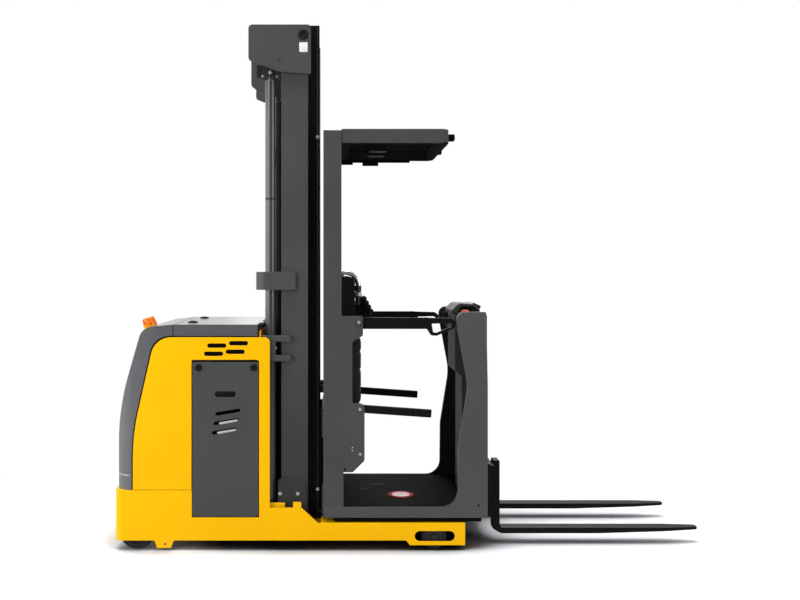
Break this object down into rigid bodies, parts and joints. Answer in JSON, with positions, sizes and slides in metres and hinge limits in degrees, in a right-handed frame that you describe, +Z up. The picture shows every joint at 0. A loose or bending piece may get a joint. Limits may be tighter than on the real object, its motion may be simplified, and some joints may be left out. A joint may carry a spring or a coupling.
{
  "type": "order picker",
  "caption": "Stand-on electric order picker with a two-stage lifting mast, an operator cab with an overhead guard and side gates, and forks that rise with the cab.",
  "frame": {"origin": "on the ground under the middle of the overall length and width", "axes": "+X towards the fork tips, +Y to the left when facing the fork tips, +Z up"},
  "size_m": [3.264, 0.842, 2.922],
  "materials": {
    "yellow_paint": "gloss",
    "hood_plastic": "satin moulded",
    "grey_paint": "satin",
    "console_plastic": "satin",
    "black_plastic": "matt",
    "screen": "gloss",
    "battery_case": "satin",
    "amber_lens": "gloss",
    "tyre": "matt",
    "steel": "machined",
    "chain_steel": "oiled",
    "mat_rubber": "matt",
    "pad": "matt",
    "black_paint": "satin"
  },
  "bodies": {
    "chassis": {"base_frame": "yellow_paint", "support_arms": "yellow_paint", "side_panels": "yellow_paint", "bulkhead": "grey_paint", "rear_hood": "hood_plastic", "battery_doors": "grey_paint", "door_knobs": "black_plastic", "battery": "battery_case", "support_brackets": "grey_paint", "load_axles": "steel", "beacon": "amber_lens", "outer_mast": "grey_paint", "mast_brackets": "grey_paint", "lift_barrels": "grey_paint", "barrel_straps": "grey_paint"},
    "lid": {"battery_lid": "hood_plastic", "lid_knobs": "black_plastic"},
    "drive_steer": {"drive_unit": "grey_paint"},
    "drive_wheel": {"drive_hub": "steel", "drive_tyre": "tyre"},
    "support_left": {"support_wheel_left": "tyre"},
    "support_right": {"support_wheel_right": "tyre"},
    "load_left": {"load_hub_left": "steel", "load_tyre_left": "tyre"},
    "load_right": {"load_hub_right": "steel", "load_tyre_right": "tyre"},
    "mast": {"inner_mast": "black_paint", "mast_head": "grey_paint", "lift_rods": "steel", "chain_pulleys": "steel", "lift_chains": "chain_steel", "mast_rollers": "steel"},
    "cab": {"lift_carriage": "grey_paint", "carriage_rollers": "steel", "cab_floor": "black_paint", "floor_mat": "mat_rubber", "cab_posts": "grey_paint", "cab_cheeks": "grey_paint", "front_wall": "grey_paint", "rear_panel": "grey_paint", "rear_console": "black_plastic", "backrest_pad": "pad", "grab_rails": "steel", "pedestal": "console_plastic", "cowl": "console_plastic", "display": "screen", "controls": "black_plastic", "guard_frame": "grey_paint", "guard_grille": "black_paint", "lamps": "black_plastic", "fork_carriage": "black_paint", "forks": "black_paint"},
    "upper_left": {"gate_upper_left": "black_paint"},
    "upper_right": {"gate_upper_right": "black_paint"},
    "lower_left": {"gate_lower_left": "black_paint"},
    "lower_right": {"gate_lower_right": "black_paint"}
  },
  "joints": [
    {"name": "mast_lift", "type": "slide", "parent": "chassis", "child": "mast", "axis": [0, 0, 1], "range_m": [0, 1.75]},
    {"name": "cab_lift", "type": "slide", "parent": "mast", "child": "cab", "axis": [0, 0, 1], "range_m": [0, 1.75]},
    {"name": "battery_lid_hinge", "type": "hinge", "parent": "chassis", "child": "lid", "pos_m": [-0.836, 0, 1.233], "axis": [0, 1, 0], "range_deg": [0, 65]},
    {"name": "drive_steering", "type": "hinge", "parent": "chassis", "child": "drive_steer", "pos_m": [-1.42, 0, 0.312], "axis": [0, 0, 1], "range_deg": [-90, 90]},
    {"name": "drive_spin", "type": "hinge", "parent": "drive_steer", "child": "drive_wheel", "pos_m": [-1.42, 0, 0.125], "axis": [0, 1, 0], "continuous": true},
    {"name": "support_spin_left", "type": "hinge", "parent": "chassis", "child": "support_left", "pos_m": [-1.512, 0.35, 0.1], "axis": [0, 1, 0], "continuous": true},
    {"name": "support_spin_right", "type": "hinge", "parent": "chassis", "child": "support_right", "pos_m": [-1.512, -0.35, 0.1], "axis": [0, 1, 0], "continuous": true},
    {"name": "load_spin_left", "type": "hinge", "parent": "chassis", "child": "load_left", "pos_m": [0.129, 0.335, 0.07], "axis": [0, 1, 0], "continuous": true},
    {"name": "load_spin_right", "type": "hinge", "parent": "chassis", "child": "load_right", "pos_m": [0.129, -0.335, 0.07], "axis": [0, 1, 0], "continuous": true},
    {"name": "gate_left", "type": "hinge", "parent": "cab", "child": "upper_left", "pos_m": [-0.287, 0.374, 1.253], "axis": [0, -1, 0], "range_deg": [0, 82]},
    {"name": "gate_left_lower", "type": "hinge", "parent": "cab", "child": "lower_left", "pos_m": [-0.281, 0.374, 0.775], "axis": [0, -1, 0], "range_deg": [0, 82]},
    {"name": "gate_right", "type": "hinge", "parent": "cab", "child": "upper_right", "pos_m": [-0.287, -0.374, 1.253], "axis": [0, -1, 0], "range_deg": [0, 82]},
    {"name": "gate_right_lower", "type": "hinge", "parent": "cab", "child": "lower_right", "pos_m": [-0.281, -0.374, 0.775], "axis": [0, -1, 0], "range_deg": [0, 82]}
  ],
  "couplings": [
    {"joint": "cab_lift", "follows": "mast_lift", "ratio": 1},
    {"joint": "gate_left_lower", "follows": "gate_left", "ratio": 1},
    {"joint": "gate_right_lower", "follows": "gate_right", "ratio": 1}
  ]
}
